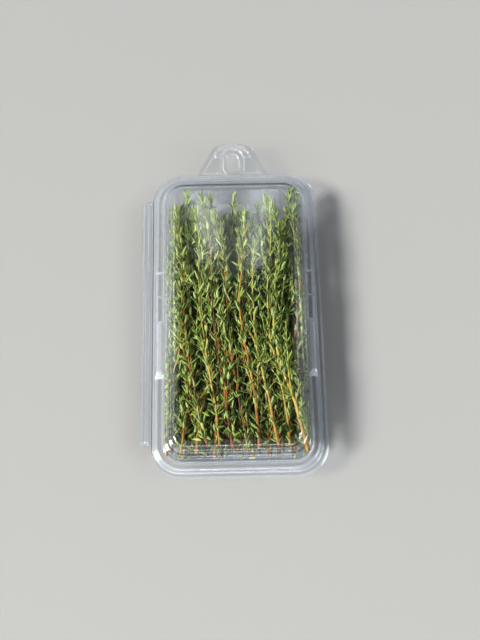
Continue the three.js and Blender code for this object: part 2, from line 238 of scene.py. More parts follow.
def grid_quads(rows, columns, looped=False):
    """Quads between neighbouring points of a rows x columns grid. Each row is a closed ring, and
    looped joins the last row to the first as well."""
    row = np.arange(rows if looped else rows - 1)[:, None] * columns
    next_row = (row + columns) % (rows * columns)
    ring = np.arange(columns)[None, :]
    after = (ring + 1) % columns
    corners = [row + ring, row + after, next_row + after, next_row + ring]
    return np.stack(corners, axis=-1).reshape(-1, 4)


def pole_fan(first, columns, pole, flip=False):
    """Triangles from a ring of columns points, starting at index first, to one pole point."""
    c = np.arange(columns)
    ring, after = first + c, first + (c + 1) % columns
    order = (after, ring) if flip else (ring, after)
    return np.stack([*order, np.full(columns, pole)], axis=-1)


def closed_shell(rings):
    """Points and faces of stacked rings. The first and last ring close on a pole at their middle."""
    rows, columns = rings.shape[:2]
    points = np.vstack([rings.reshape(-1, 3), rings[[0, -1]].mean(axis=1)])
    count = rows * columns
    faces = [
        grid_quads(rows, columns),
        pole_fan(0, columns, count, flip=True),
        pole_fan(count - columns, columns, count + 1),
    ]
    return points, faces


def ease(x):
    """0 below 0, 1 above 1, and 3x^2 - 2x^3 between."""
    x = np.clip(x, 0, 1)
    return x * x * (3 - 2 * x)


def unit(v):
    """Vectors drawn to length one."""
    return v / np.maximum(np.linalg.norm(v, axis=-1, keepdims=True), 1e-12)


def rounded_line(points, radius, steps=4):
    """A polyline with each inner corner drawn as a parabola from radius before it to radius after,
    or to 0.45 of the shorter side: (1-t)^2 start + 2t(1-t) corner + t^2 end."""
    p = np.asarray(points, float)
    here, back, ahead = p[1:-1], p[:-2] - p[1:-1], p[2:] - p[1:-1]
    back_length = np.linalg.norm(back, axis=1, keepdims=True)
    ahead_length = np.linalg.norm(ahead, axis=1, keepdims=True)
    reach = np.minimum(radius, 0.45 * np.minimum(back_length, ahead_length))
    start = (here + back / back_length * reach)[:, None]
    end = (here + ahead / ahead_length * reach)[:, None]
    t = np.linspace(0, 1, steps + 1)[None, :, None]
    arcs = (1 - t) ** 2 * start + 2 * t * (1 - t) * here[:, None] + t**2 * end
    return np.vstack([p[:1], arcs.reshape(-1, p.shape[1]), p[-1:]])


def filled_line(line, longest):
    """The same polyline with even points added, so that no run is longer than longest."""
    run = np.linalg.norm(np.diff(line, axis=0), axis=1)
    count = np.maximum(1, np.ceil(run / longest)).astype(int)
    start = np.repeat(np.arange(len(run)), count)
    share = (np.arange(len(start)) - np.repeat(np.cumsum(count) - count, count)) / count[start]
    return np.vstack([line[start] + share[:, None] * (line[start + 1] - line[start]), line[-1:]])


def offset_line(line, distance):
    """A plane line moved sideways: each point goes distance along its own normal (dy, -dx)."""
    run = np.gradient(line, axis=0)
    normal = np.stack([run[:, 1], -run[:, 0]], axis=1)
    return line + distance * normal / np.linalg.norm(normal, axis=1, keepdims=True)


# ---- the pack's outline ----

# The outer edge of tray and lid on the hinge's side.
EDGE_LEFT = -48.9 * MM
# Along Y: the lock bar's near end, its tongue's far end, the line past which it is lower, its far end.
BAR_NEAR, TONGUE_FAR, BAR_MARK, BAR_FAR = -36.5 * MM, -2.5 * MM, 12.5 * MM, 28.5 * MM
# Length of a bar's end ramps, and the share of its rise that it loses past the mark.
BAR_RAMP, BAR_DROP = 0.9 * MM, 0.28
# How far in from the rim's foot a tongue lies, and the lengths of its ramps across and along.
TONGUE_IN, TONGUE_OUT = 5.7 * MM, 1.6 * MM
TONGUE_SIDE_RAMP, TONGUE_END_RAMP = 0.7 * MM, 1.0 * MM
# A long side has a point every 4 mm, and closer ones where a lock bar or a tongue steps.
STEP_SPREAD = np.linspace(-2.4 * MM, 2.4 * MM, 9)
STEP_STOPS = [stop + STEP_SPREAD for stop in (BAR_NEAR, TONGUE_FAR, BAR_MARK, BAR_FAR)]
SIDE_STOPS = np.unique(np.concatenate([np.linspace(-68 * MM, 68 * MM, 35), *STEP_STOPS]).round(6))
END_STOPS = np.linspace(-25 * MM, 25 * MM, 11)
CORNER_TURN = np.linspace(0, np.pi / 2, 13)
# Shares of the way out from the middle of a flat panel to its bend.
PANEL_SHARES = np.linspace(0.02, 0.96, 14)
# How much a corner's radius shrinks with the inset, and its least value.
CORNER_CLOSING, LEAST_CORNER = 0.72, 2 * MM


def outline_rings(left, right, half_length, radius, z):
    """Rounded rectangles, one for each entry of the arrays, with points at the same stops along
    their sides: a corner is centre + radius (cos a, sin a) for a quarter turn of a."""
    left, right, half_length, radius, z = (
        np.broadcast_to(np.asarray(v, float).reshape(-1, 1), (np.size(z), 1))
        for v in (left, right, half_length, radius, z)
    )
    unit_column = np.ones_like(z)
    runs = []
    for turn, (sx, sy) in enumerate(((1, 1), (-1, 1), (-1, -1), (1, -1))):
        side = right if sx > 0 else left
        angle = CORNER_TURN[None, :] + turn * np.pi / 2
        corner_x = sx * (side - radius) + radius * np.cos(angle)
        corner_y = sy * (half_length - radius) + radius * np.sin(angle)
        runs.append((corner_x, corner_y))
        if turn % 2 == 0:
            runs.append((END_STOPS[::-sy] * unit_column, sy * half_length * np.ones_like(END_STOPS)))
        else:
            runs.append((sx * side * np.ones_like(SIDE_STOPS), SIDE_STOPS[::sx] * unit_column))
    x, y = (np.concatenate([run[k] for run in runs], axis=1) for k in (0, 1))
    return np.stack([x, y, z * np.ones_like(x)], axis=-1)


def bar_height(y, pack):
    """Rise of the lock bars at y: level between two short ramps, and lower beyond the mark."""
    whole = ease((y - BAR_NEAR) / BAR_RAMP) * ease((BAR_FAR - y) / BAR_RAMP)
    return pack.bar_rise * whole * (1 - BAR_DROP * ease((y - BAR_MARK) / (0.6 * BAR_RAMP)))


def tongue_height(y, inset, pack):
    """Rise of the tongue, a strip in the middle of the rim's flat, from just past the bar's near end
    to the tongue's far end. The inset is measured from the rim's foot."""
    start = BAR_NEAR + 1.5 * MM
    along = ease((y - start) / TONGUE_END_RAMP) * ease((TONGUE_FAR - y) / TONGUE_END_RAMP)
    across = ease((inset - TONGUE_OUT) / TONGUE_SIDE_RAMP) * ease((TONGUE_IN - inset) / TONGUE_SIDE_RAMP)
    return pack.tongue_rise * along * across


def shell_rings(line, lift, pack):
    """Carries a profile of (inset, z) round the pack. Each ring is the outline drawn in by its
    inset, with corners that close up by a share of it, raised by the lock bars times its lift."""
    inset, z = line[:, 0], line[:, 1]
    side = pack.half_width - inset
    radius = np.maximum(pack.corner - CORNER_CLOSING * inset, LEAST_CORNER)
    rings = outline_rings(side, side, pack.half_length - inset, radius, z)
    y = rings[..., 1]
    rings[..., 2] += lift[:, None] * (bar_height(y, pack) + tongue_height(y, inset[:, None], pack))
    return rings


def panel_rings(ring, shares, crown):
    """Copies of a ring scaled about its middle. The height is a function of x and y alone, so that
    the panel has no creases: crown (1 - (x/a)^2)(1 - (y/b)^2), where a and b are the ring's reach."""
    middle = 0.5 * (ring.min(axis=0) + ring.max(axis=0))
    reach = ring.max(axis=0) - middle
    rings = middle + (ring - middle) * np.asarray(shares)[:, None, None]
    across, along = ((rings[..., k] - middle[k]) / reach[k] for k in (0, 1))
    rings[..., 2] = middle[2] + crown * (1 - across**2) * (1 - along**2)
    return rings


def flange_rings(pack, shy, heights, outs):
    """A flange's edge as rings at these heights, each outs further out than the edge itself. The
    edge stands shy inside the tray's, but not on the hinge's side."""
    return outline_rings(
        outs - EDGE_LEFT,
        TRAY_HIGH[0] - shy + outs,
        -TRAY_LOW[1] - shy + outs,
        pack.flange_corner - shy + outs,
        heights,
    )


# ---- materials ----


def shared(name, make, *parts):
    """The material or node group of this name, made on first use."""
    found = bpy.data.materials.get(name) or bpy.data.node_groups.get(name)
    return found or make(*parts)


def new_material(name):
    """An empty node material and its node tree."""
    material = bpy.data.materials.new(name)
    material.use_nodes = True
    material.node_tree.nodes.clear()
    return material, material.node_tree


def new_group(name, inputs, outputs):
    """A shader node group with number inputs, each with its default, and number outputs."""
    tree = bpy.data.node_groups.new(name, "ShaderNodeTree")
    for label, default in inputs.items():
        socket = tree.interface.new_socket(name=label, in_out="INPUT", socket_type="NodeSocketFloat")
        socket.default_value = default
    for label in outputs:
        tree.interface.new_socket(name=label, in_out="OUTPUT", socket_type="NodeSocketFloat")
    return tree, tree.nodes.new("NodeGroupInput"), tree.nodes.new("NodeGroupOutput")


def node(tree, kind, inputs=None, **settings):
    """Adds a node, sets its settings and fills its inputs with numbers or with other sockets."""
    made = tree.nodes.new(kind)
    for key, value in settings.items():
        setattr(made, key, value)
    for key, value in (inputs or {}).items():
        if isinstance(value, bpy.types.NodeSocket):
            tree.links.new(value, made.inputs[key])
        else:
            made.inputs[key].default_value = value
    return made


def object_place(tree):
    """The point's place in the object's own coordinates."""
    return node(tree, "ShaderNodeTexCoord").outputs["Object"]


def maths(tree, operation, *values):
    """One sum, such as ADD or MULTIPLY, of numbers or sockets."""
    return node(tree, "ShaderNodeMath", dict(enumerate(values)), operation=operation).outputs[0]


def spread(tree, value, low, high, to_low=0.0, to_high=1.0):
    """A value carried from low .. high to to_low .. to_high, and held at both ends."""
    inputs = {"Value": value, "From Min": low, "From Max": high, "To Min": to_low, "To Max": to_high}
    return node(tree, "ShaderNodeMapRange", inputs).outputs["Result"]


def mix_colours(tree, share, first, second):
    """The first colour at share 0, the second at share 1. Each is a socket or a constant."""
    # Sockets 6 and 7 are a Mix node's colour inputs, and 2 is its colour output.
    inputs = {"Factor": share, 6: first, 7: second}
    return node(tree, "ShaderNodeMix", inputs, data_type="RGBA").outputs[2]


def noise(tree, place, scale, detail, roughness):
    """Noise from 0 to 1 at a place."""
    inputs = {"Vector": place, "Scale": scale, "Detail": detail, "Roughness": roughness}
    return node(tree, "ShaderNodeTexNoise", inputs).outputs["Fac"]


def ramp(tree, factor, stops):
    """A colour ramp with stops of (position, colour)."""
    made = node(tree, "ShaderNodeValToRGB", {"Fac": factor})
    elements = made.color_ramp.elements
    for _ in range(len(stops) - 2):
        elements.new(0.5)
    for element, (position, colour) in zip(elements, stops):
        element.position = position
        element.color = (*colour, 1.0)
    return made.outputs["Color"]


def bumped_normal(tree, height, strength, distance):
    """The surface's normal, tilted by a height."""
    inputs = {"Height": height, "Strength": strength, "Distance": distance}
    return node(tree, "ShaderNodeBump", inputs).outputs["Normal"]


def mix_shaders(tree, share, first, second):
    """The first shader at share 0, the second at share 1."""
    inputs = {"Fac": share, 1: first.outputs[0], 2: second.outputs[0]}
    return node(tree, "ShaderNodeMixShader", inputs)


def finish_material(tree, surface):
    """Joins a shader to the material's output."""
    node(tree, "ShaderNodeOutputMaterial", {"Surface": surface.outputs[0]})


def attribute_channels(tree, name):
    """Red, green, blue and alpha of a colour attribute."""
    data = node(tree, "ShaderNodeAttribute", attribute_name=name)
    parts = node(tree, "ShaderNodeSeparateColor", {"Color": data.outputs["Color"]})
    return [parts.outputs[k] for k in ("Red", "Green", "Blue")] + [data.outputs["Alpha"]]


def plant_grain_group():
    """Mottle and stretched fibre from noise on object coordinates, as two masks."""
    tree, source, target = new_group(
        "Plant grain",
        {"Mottle size": 1500.0, "Fibre size": 2600.0, "Fibre stretch": 0.06},
        ["Mottle", "Fibre"],
    )
    place = object_place(tree)
    mottle = noise(tree, place, source.outputs["Mottle size"], 3.0, 0.6)
    stretch = node(
        tree, "ShaderNodeCombineXYZ", {"X": 1.0, "Y": source.outputs["Fibre stretch"], "Z": 1.0}
    )
    drawn = node(
        tree, "ShaderNodeVectorMath", {0: place, 1: stretch.outputs["Vector"]}, operation="MULTIPLY"
    )
    fibre = noise(tree, drawn.outputs["Vector"], source.outputs["Fibre size"], 2.0, 0.55)
    tree.links.new(mottle, target.inputs["Mottle"])
    tree.links.new(fibre, target.inputs["Fibre"])
    return tree


def sheet_ripple_group():
    """Slow unevenness of a formed sheet, plus fine draw marks, as one height."""
    tree, source, target = new_group(
        "Sheet ripple", {"Ripple size": 42.0, "Mark size": 420.0, "Draw marks": 0.12}, ["Height"]
    )
    place = object_place(tree)
    slow = noise(tree, place, source.outputs["Ripple size"], 1.5, 0.45)
    marks = noise(tree, place, source.outputs["Mark size"], 2.0, 0.5)
    part = maths(tree, "MULTIPLY", marks, source.outputs["Draw marks"])
    tree.links.new(maths(tree, "ADD", slow, part), target.inputs["Height"])
    return tree


def clear_sheet_material(pack, ripple):
    """Clear plastic as a thin sheet: it passes light, tints it more at glancing angles, and its bends
    are faintly milky where the attribute strain is high. It mirrors 0.043 + 0.6 (1 - cos)^5, the
    same from both sides of a face, because light crosses the sheet unbent here."""
    material, tree = new_material("clear_sheet")
    facing = node(tree, "ShaderNodeLayerWeight", {"Blend": 0.30}).outputs["Facing"]
    tint = mix_colours(tree, facing, (*pack.tint, 1), (*pack.edge_tint, 1))
    clear = node(tree, "ShaderNodeBsdfTransparent", {"Color": tint})
    height = node(tree, "ShaderNodeGroup", node_tree=ripple).outputs["Height"]
    normal = bumped_normal(tree, height, 0.15, 1.2 * MM)
    mirror = node(
        tree, "ShaderNodeBsdfGlossy", {"Color": (1, 1, 1, 1), "Roughness": 0.1, "Normal": normal}
    )
    slant = node(tree, "ShaderNodeLayerWeight", {"Blend": 0.5}).outputs["Facing"]
    fresnel = maths(tree, "MULTIPLY_ADD", maths(tree, "POWER", slant, 5.0), 0.6, 0.043)
    glossy = mix_shaders(tree, fresnel, clear, mirror)
    milk = node(
        tree,
        "ShaderNodeBsdfPrincipled",
        {"Base Color": (0.80, 0.83, 0.87, 1), "Roughness": 0.25, "IOR": 1.5},
    )
    strain = node(tree, "ShaderNodeAttribute", attribute_name="strain").outputs["Fac"]
    both = mix_shaders(tree, maths(tree, "MULTIPLY_ADD", strain, 0.12, 0.001), glossy, milk)
    lamp_rays = node(tree, "ShaderNodeLightPath").outputs["Is Shadow Ray"]
    passing = node(tree, "ShaderNodeBsdfTransparent", {"Color": (*pack.shade, 1)})
    finish_material(tree, mix_shaders(tree, lamp_rays, both, passing))
    return material


def leaf_material(thyme, grain):
    """Leaf: colour by age and by leaf, paler felted underside, pale midrib and margin, oil glands.
    The attribute leaf holds tint, which carries painted shade on leaves deep in the pack, age and
    underside, and the UV map's V runs across the leaf."""
    material, tree = new_material("thyme_leaf")
    tint, age, under, _ = attribute_channels(tree, "leaf")
    masks = node(tree, "ShaderNodeGroup", {"Mottle size": 900.0}, node_tree=grain)
    warm = maths(tree, "MULTIPLY_ADD", masks.outputs["Mottle"], 0.35, -0.17)
    dark, light = tuple(thyme.leaf_dark), tuple(thyme.leaf_light)
    # Tint runs this ramp from darkest to palest; leaves deep in the pack reach the dark end through painted
    # shade.
    green = ramp(
        tree,
        maths(tree, "ADD", tint, warm),
        [
            (0.0, tuple(0.62 * c for c in dark)),
            (0.3, dark),
            (0.62, tuple(0.5 * (a + b) for a, b in zip(dark, light))),
            (0.85, light),
            (1.0, (0.50, 0.55, 0.20)),
        ],
    )
    young = mix_colours(tree, age, green, (0.32, 0.45, 0.10, 1))
    flipped = mix_colours(tree, under, young, (*thyme.leaf_under, 1))
    uv = node(tree, "ShaderNodeUVMap", uv_map="UVMap").outputs["UV"]
    across = node(tree, "ShaderNodeSeparateXYZ", {"Vector": uv}).outputs["Y"]
    from_rib = maths(tree, "ABSOLUTE", maths(tree, "SUBTRACT", across, 0.5))
    rib = spread(tree, from_rib, 0.02, 0.09, 0.4, 0.0)
    ribbed = mix_colours(tree, rib, flipped, (0.42, 0.46, 0.18, 1))
    margin = spread(tree, from_rib, 0.36, 0.49, 0.0, 0.5)
    edged = mix_colours(tree, margin, ribbed, (0.52, 0.55, 0.20, 1))
    glands = node(
        tree, "ShaderNodeTexVoronoi", {"Vector": object_place(tree), "Scale": 2600.0}, feature="F1"
    ).outputs["Distance"]
    surface = node(
        tree,
        "ShaderNodeBsdfPrincipled",
        {
            "Base Color": edged,
            "Roughness": spread(tree, under, 0.0, 1.0, 0.46, 0.78),
            "Normal": bumped_normal(tree, spread(tree, glands, 0.08, 0.28), 0.35, 0.12 * MM),
            "Specular IOR Level": 0.3,
        },
    )
    finish_material(tree, surface)
    return material


# Stem colours from the cut end to the tip.
STRAW = [
    (0.0, (0.46, 0.25, 0.06)),
    (0.25, (0.58, 0.42, 0.12)),
    (0.7, (0.50, 0.43, 0.12)),
    (1.0, (0.36, 0.40, 0.11)),
]
BROWN = [
    (0.0, (0.30, 0.12, 0.045)),
    (0.35, (0.43, 0.18, 0.036)),
    (0.7, (0.46, 0.24, 0.055)),
    (1.0, (0.40, 0.33, 0.10)),
]
PLUM = [
    (0.0, (0.20, 0.10, 0.065)),
    (0.45, (0.24, 0.105, 0.055)),
    (0.8, (0.31, 0.19, 0.075)),
    (1.0, (0.36, 0.30, 0.12)),
]


def stem_material(grain):
    """Stem: straw, orange-brown or plum by its kind, which wanders along it, with fibre streaks and
    a pale cut end. The attribute stem holds kind, share along, cut, and a painted shade by depth."""
    material, tree = new_material("thyme_stem")
    kind, along, cut, shade = attribute_channels(tree, "stem")
    masks = node(
        tree,
        "ShaderNodeGroup",
        {"Mottle size": 110.0, "Fibre size": 3200.0, "Fibre stretch": 0.05},
        node_tree=grain,
    )
    fibre = masks.outputs["Fibre"]
    straw, brown, plum = (ramp(tree, along, stops) for stops in (STRAW, BROWN, PLUM))
    wander = maths(tree, "MULTIPLY_ADD", masks.outputs["Mottle"], 1.5, -0.75)
    kind_here = maths(tree, "ADD", kind, wander)
    browner = mix_colours(tree, spread(tree, kind_here, 0.46, 0.66), straw, brown)
    bark = mix_colours(tree, spread(tree, kind_here, 0.80, 0.96), browner, plum)
    streaks = spread(tree, fibre, 0.3, 0.7, 0.62, 1.3)
    # The fibre streaks are scaled by the painted shade, which darkens stems deep in the pack.
    streaked = node(
        tree,
        "ShaderNodeVectorMath",
        {0: bark, "Scale": maths(tree, "MULTIPLY", streaks, shade)},
        operation="SCALE",
    )
    surface = node(
        tree,
        "ShaderNodeBsdfPrincipled",
        {
            "Base Color": mix_colours(tree, cut, streaked.outputs["Vector"], (0.62, 0.47, 0.22, 1)),
            "Roughness": 0.62,
            "Normal": bumped_normal(tree, fibre, 0.5, 0.15 * MM),
            "Specular IOR Level": 0.35,
        },
    )
    finish_material(tree, surface)
    return material


# ---- tray, lid, hinge strip and hang tab ----

# From the tray flange's underside to the lid flange's upper face.
LID_SEAT = 1.3 * MM
# How far the lid's edge stands inside the tray's.
LID_SHY = 0.7 * MM
# The lock bars' rise fades to nothing at this height over the flange, over this length.
BAR_FADED, BAR_FADE = 7.3 * MM, 4.6 * MM
# Longest run of a profile between two of its points.
LONGEST_RUN = 0.7 * MM
# The flange's cut edge: shares of the sheet's thickness, and how far each ring stands out.
EDGE_HEIGHTS, EDGE_OUTS = np.array([0, 0.2, 0.8, 1]), np.array([-0.1, 0, 0, -0.1]) * MM
EDGE_STRAIN, HINGE_STRAIN = 0.6, 0.35
FLOOR_CROWN = 0.25 * MM


def profiles(pack):
    """The tray's underside and the lid's upper face as (inset, z) corners, in metres."""
    d, r = pack.depth / MM, pack.rim / MM
    # Floor, foot, leaning wall, rim with its flat from 5.2 to 2.0, and flange.
    under = [(16.6, 0), (11.6, 0), (10.8, 0.8), (6.2, d), (5.2, d + r), (2.0, d + r), (0.9, d), (-1.1, d)]
    top, base = LID_HIGH[2] / MM, d + LID_SEAT / MM
    panel, h = top - pack.crown / MM, top - base
    # The lid's rim stands this far outside the tray's.
    nest = 0.8
    # Top panel, three terraces of a steep wall and a step each, a wall, rim and flange.
    upper = [
        (16.6, panel),
        (14.7, panel),
        (12.2, base + 0.935 * h),
        (10.9, base + 0.75 * h),
        (9.2, base + 0.72 * h),
        (8.3, base + 0.46 * h),
        (6.6, base + 0.43 * h),
        (5.9, base + 0.16 * h),
        (2.0 - nest, base + r),
        (0.9 - nest, base),
        (-1.1, base),
    ]
    return np.array(under) * MM, np.array(upper) * MM


def strain_of(line):
    """How strongly each point of a profile is bent: 2.6 times the turn of its tangent, at most 1."""
    tangent = unit(np.gradient(line, axis=0))
    return np.clip(2.6 * np.linalg.norm(np.gradient(tangent, axis=0), axis=1), 0, 1)


def shell_strain(rings, bends, pack):
    """A shell's strain: each ring's own bend, more where the lock bars step up along Y, by the slope
    |dz| / |dxy| there, and 0.7 on the tongues, which are drawn twice. The two poles have none."""
    run = np.roll(rings, -1, axis=1) - rings
    slope = np.abs(run[..., 2]) / np.maximum(np.hypot(run[..., 0], run[..., 1]), 1e-6)
    slope = np.maximum(slope, np.roll(slope, 1, axis=1))
    inset = pack.half_width - np.abs(rings[..., 0])
    tongue = tongue_height(rings[..., 1], inset, pack) / pack.tongue_rise
    strain = np.maximum(np.maximum(bends[:, None], np.clip(2.5 * slope, 0, 1.6)), 0.7 * tongue)
    return np.concatenate([strain.ravel(), [0, 0]])


def sheet_material(pack):
    """The clear sheet's material, with its ripple."""
    return shared("clear_sheet", clear_sheet_material, pack, shared("Sheet ripple", sheet_ripple_group))


def bar_share(line, level, pack):
    """How much of the lock bars' rise each point of a profile takes: none up to the flange, all on
    the rim, and less again up the lid's first terrace."""
    height = line[:, 1] - level
    return np.minimum(np.clip(height / pack.rim, 0, 1), np.clip((BAR_FADED - height) / BAR_FADE, 0, 1))


def formed_sheet(name, part, corners, pack, level, inward, shy, crown):
    """A formed sheet as one closed shell: its panel, its profile, the flange's edge at level, and
    the same back on the inside, which lies above the profile if inward is 1 and below it if -1. The
    part is both the CAD node that it replaces and the body that it rides on."""
    thick = inward * pack.sheet
    outer = filled_line(rounded_line(corners, pack.bend), LONGEST_RUN)
    inner = offset_line(outer, thick)
    outside = shell_rings(outer, bar_share(outer, level, pack), pack)
    inside = shell_rings(inner, bar_share(inner, level + thick, pack), pack)[::-1]
    rings = np.concatenate(
        [
            panel_rings(outside[0], PANEL_SHARES, crown),
            outside,
            flange_rings(pack, shy, level + thick * EDGE_HEIGHTS, EDGE_OUTS),
            inside,
            panel_rings(inside[-1], PANEL_SHARES[::-1], crown),
        ]
    )
    points, faces = closed_shell(rings)
    if inward < 0:
        faces = [f[:, ::-1] for f in faces]
    piece = add_piece(name, points, faces, [sheet_material(pack)], part, [part])
    flat, edge = np.zeros(len(PANEL_SHARES)), np.full(len(EDGE_OUTS), EDGE_STRAIN)
    bends = np.concatenate([flat, strain_of(outer), edge, strain_of(inner)[::-1], flat])
    set_attribute(piece.data, "strain", shell_strain(rings, bends, pack))


class THYME_OT_tray(bpy.types.Operator):
    """Formed tray: floor, leaning wall, nesting rim with lock bars, and flange"""

    bl_idname = "thyme.tray"
    bl_label = "Tray"

    def execute(self, context):
        pack = context.scene.thyme_pack
        formed_sheet("tray_sheet", "tray", profiles(pack)[0], pack, pack.depth, 1, 0, FLOOR_CROWN)
        return {"FINISHED"}


class THYME_OT_lid(bpy.types.Operator):
    """Formed lid: stepped terraces up to a flat top panel, nesting rim and flange"""

    bl_idname = "thyme.lid"
    bl_label = "Lid"

    def execute(self, context):
        pack = context.scene.thyme_pack
        level = pack.depth + LID_SEAT
        formed_sheet("lid_sheet", "lid", profiles(pack)[1], pack, level, -1, LID_SHY, pack.crown)
        return {"FINISHED"}


class THYME_OT_hinge(bpy.types.Operator):
    """Folded strip between tray and lid, along their outer edge"""

    bl_idname = "thyme.hinge"
    bl_label = "Hinge strip"

    def execute(self, context):
        pack = context.scene.thyme_pack
        fold_x, fold_z = (0.5 * (FOLD_LOW[k] + FOLD_HIGH[k]) / MM for k in (0, 2))
        edge, half_gap = EDGE_LEFT / MM, 0.4
        leaf = fold_z - half_gap
        # The lower leaf: flat at the flange, down through its pleat, flat again, and in to the fold.
        lower = [
            (edge, leaf),
            (edge - 0.7, leaf),
            (edge - 1.5, leaf - 1.3),
            (edge - 3.0, leaf - 1.7),
            (edge - 4.5, leaf - 1.3),
            (edge - 5.2, leaf),
            (fold_x - 0.05, leaf),
            (fold_x - 0.35, fold_z - 0.2),
        ]
        upper = [(x, 2 * fold_z - z) for x, z in reversed(lower)]
        line = rounded_line(np.array(lower + upper) * MM, 0.8 * MM, 5)
        section = np.vstack([line, offset_line(line, pack.sheet * 0.8)[::-1]])

        # The section shrinks over the last 2.2 mm of each end, as a quarter of an ellipse.
        close = np.array([0.25, 0.55, 1.0, 1.6, 2.2]) * MM
        stops = np.linspace(FOLD_LOW[1], FOLD_HIGH[1], 40)
        stops = np.unique(np.concatenate([stops, stops[0] + close, stops[-1] - close]))
        from_end = np.minimum(stops - stops[0], stops[-1] - stops)
        full = np.sqrt(1 - (1 - np.clip(from_end / close[-1], 0, 1)) ** 2)[:, None]
        middle = np.array([edge, fold_z]) * MM
        across, over = (section - middle).T
        x = middle[0] + across * (0.72 + 0.28 * full)
        z = middle[1] + over * (0.55 + 0.45 * full)
        points = np.stack([x, np.broadcast_to(stops[:, None], x.shape), z], axis=-1)

        rows, columns = x.shape
        caps = np.arange(len(line) - 1)
        start = np.stack([caps, caps + 1, columns - 2 - caps, columns - 1 - caps], axis=-1)
        finish = (rows - 1) * columns + start[:, ::-1]
        faces = [grid_quads(rows, columns), start, finish]
        piece = add_piece("hinge_strip", points.reshape(-1, 3), faces, [sheet_material(pack)])
        set_attribute(piece.data, "strain", np.full(rows * columns, HINGE_STRAIN))
        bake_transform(piece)
        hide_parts("hinge_fold")
        return {"FINISHED"}


# The hang tab, in millimetres: its slot's half width, and the centres of the slot's two round ends
# from the tab's root; the radius, the centre's depth below the tab's tip and the half sweep of the
# crescent; and how many points it has round it and from its slot to its edge.
SLOT_HALF, SLOT_NEAR, SLOT_FAR = 3.8, 5.2, 10.2
CRESCENT_RADIUS, CRESCENT_DEPTH, CRESCENT_SWEEP = 10.15, 12.35, 0.99
TAB_ROUND, TAB_ACROSS = 264, 58


def tab_edge(root, tip):
    """The hang tab's outline at even runs, from the middle of its root round by its tip and back."""
    right = np.array(
        [
            (0, root), (10, root), (22, root), (21.2, root + 1.6), (17.2, root + 9.4),
            (12.9, tip - 4.2), (10.9, tip - 1.7), (7.4, tip - 0.35), (3.5, tip), (0, tip),
        ]
    )
    line = rounded_line(np.vstack([right, (right * [-1, 1])[::-1][1:]]), 2.2, 6)
    length = np.concatenate([[0], np.cumsum(np.linalg.norm(np.diff(line, axis=0), axis=1))])
    at = np.linspace(0, length[-1], TAB_ROUND, endpoint=False)
    return np.stack([np.interp(at, length, line[:, k]) for k in (0, 1)], axis=1)


def slot_edge(rim, root):
    """The slot's outline, with one point for each point of the rim: a circle about the slot's middle
    whose far and near halves are moved out to the slot's two ends."""
    middle, reach = root + 0.5 * (SLOT_NEAR + SLOT_FAR), 0.5 * (SLOT_FAR - SLOT_NEAR)
    angle = np.arctan2((rim[:, 1] - middle) * 0.75, rim[:, 0])
    edge = np.stack([SLOT_HALF * np.cos(angle), middle + SLOT_HALF * np.sin(angle)], axis=1)
    edge[:, 1] += np.where(edge[:, 1] > middle, reach, -reach) * np.minimum(1, np.abs(np.sin(angle)) * 3)
    return edge


def tab_relief(x, y, root, tip):
    """Height of the shapes pressed into the tab, each one a flat with eased ramps: a collar round the
    slot, a crescent whose ends widen and whose middle is grooved, and a low panel on either side."""
    beyond = y - np.clip(y, root + SLOT_NEAR, root + SLOT_FAR)
    to_slot = np.hypot(x, beyond) - SLOT_HALF
    collar = ease((2.3 - to_slot) / 0.6) * ease((to_slot - 0.25) / 0.4)

    centre = tip - CRESCENT_DEPTH
    turn = np.clip(np.arctan2(x, y - centre), -CRESCENT_SWEEP, CRESCENT_SWEEP)
    to_arc = np.hypot(x - CRESCENT_RADIUS * np.sin(turn), y - centre - CRESCENT_RADIUS * np.cos(turn))
    wide = 1.3 + 1.6 * (np.abs(turn) / CRESCENT_SWEEP) ** 2.2
    crescent = ease((wide - to_arc) / 0.55)
    groove = ease((wide - 0.95 - to_arc) / 0.5)

    # The panels' slanted outer side runs from 18.4 mm out at the root to 11.6 mm near the tip.
    from_root = y - root
    slanted = 18.4 - np.abs(x) - (from_root - 1.6) * (18.4 - 11.6) / (tip - 8.8 - root)
    panel = ease(slanted / 0.6) * ease((from_root - 0.9) / 0.6)
    panel *= ease((to_slot - 3.2) / 0.6) * ease((to_arc - wide - 0.4) / 0.6)
    return 0.8 * np.maximum(collar, crescent) - 0.5 * groove * crescent + 0.45 * panel


class THYME_OT_hang_tab(bpy.types.Operator):
    """Hang tab with its slot, collar, crescent and two side panels pressed into the sheet"""

    bl_idname = "thyme.hang_tab"
    bl_label = "Hang tab"

    def execute(self, context):
        pack = context.scene.thyme_pack
        root, tip = -TRAY_LOW[1] / MM, TRAY_HIGH[1] / MM
        rim = tab_edge(root, tip)
        hole = slot_edge(rim, root)
        flat = hole + (rim - hole) * np.linspace(0, 1, TAB_ACROSS)[:, None, None]
        height = tab_relief(flat[..., 0], flat[..., 1], root, tip)
        low = np.concatenate([flat, (pack.depth / MM + height)[..., None]], axis=-1)
        high = low + [0, 0, pack.sheet / MM]
        loop = np.concatenate([low, high[::-1]]) * MM
        faces = grid_quads(*loop.shape[:2], looped=True)
        points, finish = loop.reshape(-1, 3), [sheet_material(pack)]
        piece = add_piece("hang_tab", points, faces, finish, "tray", ["tray"])
        strain = np.clip(np.abs(np.gradient(height, axis=0)) * 6, 0, 1)
        set_attribute(piece.data, "strain", np.concatenate([strain, strain[::-1]]).ravel())
        return {"FINISHED"}


# ---- thyme ----

# Shares of a leaf's length at which it has a ring of points, and its half width at the first.
LEAF_STATIONS, LEAF_FOOT = np.array([0.06, 0.2, 0.42, 0.66, 0.87]), 0.09
# Points round a stem, and points along the main one.
STEM_ROUND, STEM_STEPS = 8, 72
# Runs of stem between leaf pairs, on the main stem and on side stems.
MAIN_PITCH, SIDE_PITCH = 8.4 * MM, 5.6 * MM
UP = np.array([0, 0, 1.0])


